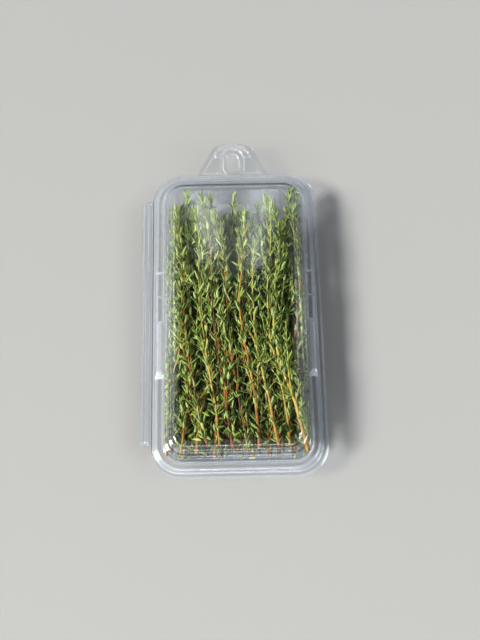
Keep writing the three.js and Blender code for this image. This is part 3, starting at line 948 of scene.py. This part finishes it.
def leaf_template():
    """One leaf along +X, its face towards +Z, one unit long and one unit wide: its points, UVs,
    share of underside, quads and triangles. At station u its half width is
    0.5 sin(pi u^0.8)^0.75. Six points go round it: two rolled edges, two cheeks, the sunk midrib
    above and the raised midrib below. Both ends close on a pole."""
    u = LEAF_STATIONS
    half = 0.5 * np.sin(np.pi * u**0.8) ** 0.75
    half[0] = LEAF_FOOT
    across = np.array([-1.0, -0.5, 0.0, 0.5, 1.0, 0.0])
    height = 1.6 * np.array([-0.10, 0.10, 0.02, 0.10, -0.10, -0.12])
    rows, columns = len(u), len(across)
    x = np.broadcast_to(u[:, None], (rows, columns))
    ring = np.stack([x, half[:, None] * across, half[:, None] * height], axis=-1).reshape(-1, 3)
    points = np.vstack([ring, [[0, 0, 0]], [[1, 0, 0]]])
    v = 0.5 + 0.5 * np.concatenate([np.tile(across, rows), [0, 0]])
    under = np.concatenate([np.tile([0.35, 0, 0, 0, 0.35, 1.0], rows), [0.3, 0.2]])
    pole, last = rows * columns, (rows - 1) * columns
    tris = np.vstack([pole_fan(0, columns, pole, flip=True), pole_fan(last, columns, pole + 1)])
    return points, np.stack([points[:, 0], v], axis=1), under, grid_quads(rows, columns), tris


def sprig_line(name):
    """Middle line of a CAD sprig, as a function of the share along it, and its length: x and z are
    sixth-degree fits over y of all its corners, which lie evenly about that line."""
    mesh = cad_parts[name].data
    corners = np.empty(len(mesh.vertices) * 3, np.float32)
    mesh.vertices.foreach_get("co", corners)
    corners = np.unique(corners.reshape(-1, 3).round(6), axis=0)
    low, high = corners[:, 1].min(), corners[:, 1].max()
    t = 2 * (corners[:, 1] - low) / (high - low) - 1
    fits = [np.polynomial.chebyshev.chebfit(t, corners[:, k], 6) for k in (0, 2)]

    def line(share):
        x, z = (np.polynomial.chebyshev.chebval(2 * share - 1, fit) for fit in fits)
        return np.stack([x, low + (high - low) * share, z], axis=-1)

    return line, high - low


def across_path(tangent):
    """Two directions across a path: one level, and one over it."""
    aside = unit(np.cross(tangent, UP))
    return aside, np.cross(aside, tangent)


def frames_along(path, shares):
    """Places on a path at shares of its length, with the path's direction and two across it."""
    steps = np.arange(len(path))
    at = np.clip(shares, 0, 1) * (len(path) - 1)
    slope = np.gradient(path, axis=0)
    foot, tangent = (
        np.stack([np.interp(at, steps, values[:, k]) for k in range(3)], axis=1) for values in (path, slope)
    )
    tangent = unit(tangent)
    return foot, tangent, *across_path(tangent)


def room_beside(z):
    """0 up to 2 mm, 1 between 9 and 23 mm up, where the pack is widest, and 0 again at 31 mm."""
    return ease((z - 2 * MM) / (7 * MM)) * ease((31 * MM - z) / (8 * MM))


def hold_in(path):
    """Draws stems in softly where they would leave the pack: beyond a reach of 33 to 39 mm, by the
    room beside them, x counts a quarter."""
    x, reach = path[:, 0], (33 + 6 * room_beside(path[:, 2])) * MM
    path[:, 0] = np.sign(x) * (np.minimum(np.abs(x), reach) + 0.25 * np.maximum(np.abs(x) - reach, 0))
    return path


def confine_to(pack):
    """Keeps points inside the pack: height between floor and top panel, and x and y no further out
    than the wall at that height, less the sheet and 0.25 mm. Leaves that reach it lie against it."""
    under, upper = profiles(pack)
    insets, heights = np.vstack([under[1:4], upper[::-1][3:-1]]).T
    spare = pack.sheet + 0.25 * MM

    def confine(points):
        kept = points.copy()
        kept[:, 2] = np.clip(kept[:, 2], spare + 0.2 * MM, LID_HIGH[2] - spare - 0.15 * MM)
        inset = np.interp(kept[:, 2], heights, insets) + spare
        for k, half in enumerate((pack.half_width, pack.half_length)):
            kept[:, k] = np.clip(kept[:, k], inset - half, half - inset)
        return kept

    return confine


class Sprig:
    """One sprig. It collects its stems and leaves as whole arrays, and puts them into one mesh."""

    def __init__(self, number, name, thyme, template):
        self.rng = np.random.default_rng(thyme.seed * 1000 + number)
        self.thyme, self.template = thyme, template
        self.line, self.length = sprig_line(name)
        self.stem_points, self.stem_quads, self.stem_tris, self.stem_data = [], [], [], []
        self.leaves = []
        self.count = 0
        self.kind, self.tint = self.rng.random(), self.rng.uniform(0.42, 0.74)

    def add_stem(self, points, radius, along, cut=False):
        """A square stem with rounded edges carried along points (n, 3): its section is
        radius (cos a, sin a) / (|cos a|^3 + |sin a|^3)^(1/3) in the plane across the path. Its
        colour data are its kind, the share along, its cut end, and a painted shade by its depth."""
        n, m = len(points), STEM_ROUND
        tangent = unit(np.gradient(points, axis=0))
        aside, over = across_path(tangent)
        a = 2 * np.pi * np.arange(m) / m + np.pi / 8
        square = 1 / (np.abs(np.cos(a)) ** 3 + np.abs(np.sin(a)) ** 3) ** (1 / 3)
        ring = (
            aside[:, None] * (np.cos(a) * square)[None, :, None]
            + over[:, None] * (np.sin(a) * square)[None, :, None]
        )
        skin = points[:, None] + radius[:, None, None] * ring
        ends = np.stack([points[0] - tangent[0] * radius[0] * 0.1, points[-1] + tangent[-1] * radius[-1]])
        self.stem_points += [skin.reshape(-1, 3), ends]
        self.stem_quads.append(self.count + grid_quads(n, m)[:, ::-1])
        self.stem_tris.append(self.count + pole_fan(0, m, n * m))
        self.stem_tris.append(self.count + pole_fan((n - 1) * m, m, n * m + 1, flip=True))
        data = np.zeros((n * m + 2, 4))
        data[:, 0] = self.kind
        data[:, 1] = np.concatenate([np.repeat(along, m), along[[0, -1]]])
        data[-2, 2] = cut
        # Painted shade: stems darken by up to 0.6 towards the floor of the pack.
        depth = 1 - np.concatenate([np.repeat(points[:, 2], m), points[[0, -1], 2]]) / LID_HIGH[2]
        data[:, 3] = 1 - 0.6 * ease(1.25 * depth)
        self.stem_data.append(data)
        self.count += n * m + 2

    def add_leaves(self, foot, direction, face, length, width, curl, tint, age):
        """Leaves by their foot, direction, face normal, length, width and curl. A point at share u
        of the leaf sinks by curl u^2 of its length, away from the face."""
        direction, tint = unit(direction), np.clip(tint, 0.02, 0.98)
        self.leaves.append((foot, direction, face, length, width, curl, tint, age))

    def leaves_on(self, path, shares, size, lean, turn, tint, age):
        """Leaves at shares of a path. Each leans from the path by its angle, towards its turn about
        the path, and twists part of the way from facing the path's tip to facing the light. Leaves
        deep in the pack get painted shade: their tint falls by half from top panel to floor."""
        rng, thyme, count = self.rng, self.thyme, len(shares)
        foot, tangent, aside, over = frames_along(path, shares)
        out = unit(aside * np.cos(turn)[:, None] + over * (0.8 * np.sin(turn))[:, None])
        direction = tangent * np.cos(lean)[:, None] + out * np.sin(lean)[:, None]
        natural = tangent * np.sin(lean)[:, None] - out * np.cos(lean)[:, None]
        light = rng.uniform(0.1, 1.5, count)[:, None] * UP
        face = natural + light + rng.normal(0, 0.28, (count, 3))
        length = thyme.leaf_length * size * rng.uniform(0.76, 1.14, count)
        width = thyme.leaf_width * np.sqrt(size) * rng.uniform(0.5, 1.05, count)
        curl = rng.uniform(-0.1, 0.2, count)
        # Painted shade: the tint falls by half from the top panel down to the floor.
        tints = tint + rng.normal(0, 0.28, count) - 0.5 * (1 - foot[:, 2] / LID_HIGH[2])
        ages = np.clip(age + rng.normal(0, 0.08, count), 0, 1)
        width = np.minimum(width, 0.4 * length)
        self.add_leaves(foot, direction, face, length, width, curl, tints, ages)

    def leaf_pairs(self, path, shares, size, angle, tint, age, tuft=1):
        """Opposite leaves at shares of a stem, each pair a quarter turn on from the last, with a tuft
        of small leaves in each leaf's angle."""
        rng, count = self.rng, len(shares)
        pair = np.repeat(np.arange(count), 2)
        turn = (pair % 2) * np.pi / 2 + np.tile([0, np.pi], count) + rng.uniform(0, np.pi)
        turn = turn + 0.12 * pair + rng.normal(0, 0.25, 2 * count)
        where, sizes, lean, ages = shares[pair], size[pair], angle[pair], age[pair]
        at = where + rng.normal(0, 0.0015, 2 * count)
        leans = lean + rng.normal(0, 0.16, 2 * count)
        self.leaves_on(path, at, sizes, leans, turn, tint, ages)
        own = np.repeat(np.arange(2 * count), tuft)
        small = sizes[own] * rng.uniform(0.45, 0.95, len(own))
        closer = lean[own] * rng.uniform(0.25, 0.95, len(own))
        turn = turn[own] + rng.normal(0, 0.55, len(own))
        at = where[own] + rng.uniform(0, 0.008, len(own))
        self.leaves_on(path, at, small, closer, turn, tint + 0.06, ages[own] + 0.15)

    def loose_leaves(self, main, count=9):
        """Fallen leaves that lie at any turn round the lowest fifth of the main stem."""
        rng = self.rng
        foot = frames_along(main, rng.uniform(0, 0.2, count))[0]
        foot = foot + rng.normal(0, 1, (count, 3)) * np.array([3, 3, 1.2]) * MM
        turn = rng.uniform(0, 2 * np.pi, count)
        way = np.stack([np.cos(turn), np.sin(turn), rng.normal(0, 0.15, count)], axis=1)
        face = UP + rng.normal(0, 0.4, (count, 3))
        length = self.thyme.leaf_length * rng.uniform(0.4, 0.8, count)
        curl = rng.uniform(-0.1, 0.2, count)
        tints = self.tint + rng.normal(0, 0.2, count)
        self.add_leaves(foot, way, face, length, 0.32 * length, curl, tints, np.zeros(count))

    def side_stem(self, main, begin, reach, spread_out, tint, stout):
        """A side stem that leaves the main one at share begin, swings out to spread_out by
        1 - (1 - q)^1.6 of its run, more often towards the nearer wall, and follows beside it."""
        rng = self.rng
        q = np.linspace(0, 1, max(8, int(reach / (2.2 * MM))))
        path = frames_along(main, begin + q * reach / self.length)[0]
        swing = rng.uniform(-0.9, 0.9)
        out = spread_out * (1 - (1 - q) ** 1.6)
        side = np.sign(rng.uniform(-1, 1) + 0.7 * path[0, 0] / (35 * MM))
        path[:, 0] += side * np.cos(swing) * out
        path[:, 2] += 0.4 * np.sin(swing) * out
        path[:, 0] += 0.5 * MM * rng.normal() * np.sin(2 * np.pi * q)
        path = hold_in(path)
        along = np.clip(begin + 0.25 + 0.5 * q, 0, 1)
        self.add_stem(path, self.thyme.stem * stout * (1 - 0.5 * q), along)
        shares = np.linspace(0.2, 0.99, max(3, int(reach / SIDE_PITCH)))
        size = np.interp(shares, [0, 0.5, 1], [0.72, 0.85, 0.55])
        angle = np.interp(shares, [0, 1], [0.85, 0.4])
        self.leaf_pairs(path, shares, size, angle, tint, 0.2 + 0.4 * shares)

    def main_path(self):
        """The main stem's path: its CAD line with a slow lean, bow and wave, a nod of its tip, a
        small kink at each of 15 joints, and a spread to the walls where there is room."""
        s = np.linspace(0, 1, STEM_STEPS)
        path = self.line(s)
        lean, bow, wave, phase, lift, nod = self.rng.uniform(-1, 1, 6)
        path[:, 0] += MM * (3.2 * lean * (s - 0.5) + 2.6 * bow * np.sin(np.pi * s))
        path[:, 0] += MM * 0.9 * wave * np.sin(3 * np.pi * s + 3 * phase)
        path[:, 0] += MM * 6.0 * nod * ease((s - 0.5) / 0.6) ** 1.5
        path[:, 2] += 0.7 * MM * lift * np.sin(2 * np.pi * s)
        path[:, 0] *= 1.02 + 0.23 * room_beside(path[:, 2])
        path[:, 0] += np.interp(s, np.linspace(0, 1, 15), self.rng.normal(0, 0.32 * MM, 15))
        return s, hold_in(path)

    def grow(self):
        """Grows the main stem with swollen joints, its leaf pairs and its crown of young leaves,
        loose leaves, 1 to 3 long side stems low down, and short leafy shoots, more near a wall."""
        rng = self.rng
        s, main = self.main_path()
        stout = 0.66 + 0.8 * rng.random() ** 3
        joints = np.linspace(0.12, 0.97, 15)
        swell = np.exp(-(((s[:, None] - joints) / 0.006) ** 2)).sum(axis=1)
        radius = self.thyme.stem * stout * (1 - 0.62 * np.sqrt(s)) * (1 + 0.2 * swell)
        self.add_stem(main, radius, s, cut=True)

        # Leaf pairs stand closer towards the tip, above a short bare foot.
        bare = rng.uniform(0.01, 0.06)
        count = int(round(self.length * (1 - bare) / MAIN_PITCH))
        shares = bare + (0.985 - bare) * (1 - (1 - np.arange(count) / count) ** 1.15)
        size = np.interp(shares, [0, 0.15, 0.6, 0.9, 1], [0.7, 0.95, 1.0, 0.85, 0.6])
        angle = np.interp(shares, [0, 0.5, 0.9, 1], [0.76, 0.64, 0.5, 0.36])
        self.leaf_pairs(main, shares, size, angle, self.tint, 0.5 * ease((shares - 0.55) / 0.5), tuft=2)
        # The crown is four more pairs, smaller and more upright one by one.
        shares, size, angle = (np.linspace(*ends, 4) for ends in ((0.955, 1.0), (0.95, 0.7), (0.8, 0.3)))
        self.leaf_pairs(main, shares, size, angle, self.tint + 0.12, np.full(4, 0.6))
        self.loose_leaves(main)

        for _ in range(int(rng.integers(1, 4))):
            begin, reach = rng.uniform(0.12, 0.45), rng.uniform(35, 75) * MM
            self.side_stem(main, begin, reach, rng.uniform(5, 10) * MM, self.tint, 0.45 * stout)
        outer = ease((np.abs(main[:, 0]).mean() - 18 * MM) / (8 * MM))
        for _ in range(int(rng.integers(9, 14) + 15 * outer)):
            begin = 0.01 + 0.85 * rng.random() ** 1.2
            reach = min(rng.uniform(10, 26) * MM, (0.99 - begin) * self.length)
            self.side_stem(main, begin, reach, rng.uniform(2, 5 + 4 * outer) * MM, self.tint + 0.05, 0.33)

    def build(self, name, materials, confine):
        """Puts the stems, with material 0, and the leaves, with material 1, into one mesh."""
        points, uv, under, quads, tris = self.template
        foot, along, face, length, width, curl, tint, age = (
            np.concatenate([leaf[k] for leaf in self.leaves]) for k in range(8)
        )
        aside = unit(np.cross(face, along))
        face = np.cross(along, aside)
        u, v, h = points.T
        length, width = length[:, None], width[:, None]
        sunk = h * width - curl[:, None] * u**2 * length
        leaves = foot[:, None] + along[:, None] * (u * length)[..., None]
        leaves = leaves + aside[:, None] * (v * width)[..., None] + face[:, None] * sunk[..., None]
        leaf_count, per = leaves.shape[:2]
        start = self.count + np.arange(leaf_count)[:, None, None] * per
        every = confine(np.vstack([*self.stem_points, leaves.reshape(-1, 3)]))
        faces = [
            np.vstack(self.stem_quads),
            (start + quads[None]).reshape(-1, 4),
            np.vstack(self.stem_tris),
            (start + tris[None]).reshape(-1, 3),
        ]
        piece = add_piece(name, every, faces, materials)
        index = np.repeat([0, 1, 0, 1], [len(f) for f in faces]).astype(np.int32)
        piece.data.polygons.foreach_set("material_index", index)
        channels = [np.repeat(tint, per), np.repeat(age, per), np.tile(under, leaf_count)]
        leaf_data = np.stack([*channels, np.ones(leaf_count * per)], axis=1)
        no_leaf = np.broadcast_to([0, 0, 0, 1], (self.count, 4))
        set_attribute(piece.data, "leaf", np.vstack([no_leaf, leaf_data]))
        set_attribute(piece.data, "stem", np.vstack([*self.stem_data, np.ones((leaf_count * per, 4))]))
        set_uv(piece.data, np.vstack([np.zeros((self.count, 2)), np.tile(uv, (leaf_count, 1))]))
        return piece


class THYME_OT_sprigs(bpy.types.Operator):
    """Sprigs of thyme, one on each CAD sprig"""

    bl_idname = "thyme.sprigs"
    bl_label = "Sprigs"

    def execute(self, context):
        thyme, pack = context.scene.thyme_sprigs, context.scene.thyme_pack
        grain = shared("Plant grain", plant_grain_group)
        materials = [
            shared("thyme_stem", stem_material, grain),
            shared("thyme_leaf", leaf_material, thyme, grain),
        ]
        confine, template = confine_to(pack), leaf_template()
        for number, name in enumerate(SPRIGS, start=1):
            sprig = Sprig(number, name, thyme, template)
            sprig.grow()
            piece = sprig.build(f"thyme_{number:02d}", materials, confine)
            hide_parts(name)
            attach(piece, "tray")
        return {"FINISHED"}


# ---- stage ----

FLOOR_REACH = 12
# The world's colour by height: pale at the horizon, dark overhead.
SKY = [
    (0.0, (0.50, 0.50, 0.49)),
    (0.02, (0.50, 0.50, 0.49)),
    (0.12, (0.22, 0.23, 0.25)),
    (0.35, (0.18, 0.19, 0.21)),
    (0.72, (0.03, 0.033, 0.04)),
    (1.0, (0.02, 0.022, 0.026)),
]
# Small lamps 1 m up whose mirror images lie on the lid's top panel: x, y, width, length and watts.
WINDOWS = (
    (0.0, 0.49, 0.17, 0.16, 0.04),
    (-0.055, 0.50, 0.042, 0.12, 0.045),
    (0.052, 0.49, 0.036, 0.17, 0.055),
)
WINDOW_COLOUR, STRIP_COLOUR, WHITE = (0.93, 0.96, 1), (0.95, 0.98, 1), (1, 1, 1)
# The camera leans back from straight down by its tilt, is turned about Z, and looks at a point
# inside the pack from CAMERA_AWAY metres.
CAMERA_TILT, CAMERA_TURN, CAMERA_AWAY = np.radians(18.3), np.radians(-1.22), 0.524
CAMERA_TARGET = Vector((2.6 * MM, -1.3 * MM, 13 * MM))


def add_lamp(name, kind, place, target, energy, colour, **shape):
    """A lamp at place that faces target."""
    data = bpy.data.lights.new(name, kind)
    data.energy, data.color = energy, colour
    for key, value in shape.items():
        setattr(data, key, value)
    lamp = bpy.data.objects.new(name, data)
    lamp.location = place
    lamp.rotation_euler = (Vector(target) - Vector(place)).to_track_quat("-Z", "Y").to_euler()
    bpy.context.scene.collection.objects.link(lamp)


def area_light(name, place, target, size, power, colour):
    """A rectangular lamp at place that faces target."""
    add_lamp(name, "AREA", place, target, power, colour, shape="RECTANGLE", size=size[0], size_y=size[1])


def sun_light(name, way, strength, angle, colour):
    """A distant soft lamp whose light comes from way, as wide as angle."""
    add_lamp(name, "SUN", way, (0, 0, 0), strength, colour, angle=np.radians(angle))


def add_floor(colour):
    """A pale matt floor far wider than any view."""
    material, tree = new_material("floor")
    surface = node(
        tree,
        "ShaderNodeBsdfPrincipled",
        {"Base Color": (*colour, 1), "Roughness": 0.7, "Specular IOR Level": 0.3},
    )
    finish_material(tree, surface)
    corners = FLOOR_REACH * np.array([(-1, -1, 0), (1, -1, 0), (1, 1, 0), (-1, 1, 0)], float)
    add_piece("floor", corners, np.array([[0, 1, 2, 3]]), [material], smooth=False)


def add_world():
    """A world whose light changes only with height."""
    world = bpy.data.worlds.new("studio")
    world.use_nodes = True
    tree = world.node_tree
    way = node(tree, "ShaderNodeTexCoord").outputs["Generated"]
    rise = node(tree, "ShaderNodeSeparateXYZ", {"Vector": way}).outputs["Z"]
    background = tree.nodes["Background"]
    tree.links.new(ramp(tree, rise, SKY), background.inputs["Color"])
    background.inputs["Strength"].default_value = 1.0
    bpy.context.scene.world = world


def add_camera():
    """A 50 mm camera, placed from its target by its tilt, turn and distance."""
    tilt, turn = CAMERA_TILT, CAMERA_TURN
    back = Vector((np.sin(tilt) * np.sin(turn), -np.sin(tilt) * np.cos(turn), np.cos(tilt)))
    right = Vector((np.cos(turn), np.sin(turn), 0))
    axes = Matrix((right, back.cross(right), back)).transposed().to_4x4()
    data = bpy.data.cameras.new("camera")
    data.lens, data.sensor_width, data.sensor_fit = 50, 36, "AUTO"
    data.clip_start = 0.01
    camera = bpy.data.objects.new("camera", data)
    camera.matrix_world = Matrix.Translation(CAMERA_TARGET + CAMERA_AWAY * back) @ axes
    bpy.context.scene.collection.objects.link(camera)
    bpy.context.scene.camera = camera


class THYME_OT_stage(bpy.types.Operator):
    """Floor, lights and camera"""

    bl_idname = "thyme.stage"
    bl_label = "Stage"

    def execute(self, context):
        stage, middle = context.scene.thyme_stage, (0, 0, 0)
        add_floor(stage.floor)
        add_world()
        sun_light("key", (-0.8, -0.15, 0.6), stage.key, 15, (1, 0.985, 0.95))
        sun_light("fill", (0.74, -0.1, 0.75), 0.22 * stage.key, 26, (0.96, 0.98, 1))
        area_light("front", (-0.1, -0.95, 0.5), middle, (0.8, 0.1), 2.5, WHITE)
        for side in (-1, 1):
            area_light("strip", (0.85 * side, 0.32, 0.5), middle, (0.1, 0.7), 0.4, STRIP_COLOUR)
        for x, y, wide, long, power in WINDOWS:
            area_light("window", (x, y, 1.0), (x / 3, 0.05, 0.03), (wide, long), power, WINDOW_COLOUR)
        add_camera()
        context.scene.view_settings.view_transform = "Standard"
        context.scene.view_settings.look = "High Contrast"
        return {"FINISHED"}


class THYME_PT_panel(bpy.types.Panel):
    """Sidebar panel with a button for each piece"""

    bl_idname = "THYME_PT_panel"
    bl_label = "Thyme"
    bl_space_type = "VIEW_3D"
    bl_region_type = "UI"
    bl_category = "Thyme"

    def draw(self, context):
        for operator in OPERATORS:
            self.layout.operator(operator.bl_idname)
        for settings in (context.scene.thyme_pack, context.scene.thyme_sprigs, context.scene.thyme_stage):
            box = self.layout.box()
            for key in settings.__annotations__:
                box.prop(settings, key)


OPERATORS = (
    THYME_OT_stage,
    THYME_OT_tray,
    THYME_OT_lid,
    THYME_OT_hinge,
    THYME_OT_hang_tab,
    THYME_OT_sprigs,
)
SETTINGS = {"thyme_pack": PackSettings, "thyme_sprigs": ThymeSettings, "thyme_stage": StageSettings}


def register():
    """Registers the settings, the operators and the panel."""
    for cls in (*SETTINGS.values(), *OPERATORS, THYME_PT_panel):
        bpy.utils.register_class(cls)
    for key, cls in SETTINGS.items():
        setattr(bpy.types.Scene, key, bpy.props.PointerProperty(type=cls))


def unregister():
    """Takes back what register did."""
    for key in SETTINGS:
        delattr(bpy.types.Scene, key)
    for cls in (THYME_PT_panel, *reversed(OPERATORS), *reversed(SETTINGS.values())):
        bpy.utils.unregister_class(cls)


def main():
    """Makes every piece in order."""
    register()
    bpy.ops.thyme.stage()
    bpy.ops.thyme.tray()
    bpy.ops.thyme.lid()
    bpy.ops.thyme.hinge()
    bpy.ops.thyme.hang_tab()
    bpy.ops.thyme.sprigs()
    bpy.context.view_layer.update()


if __name__ == "__main__":
    main()
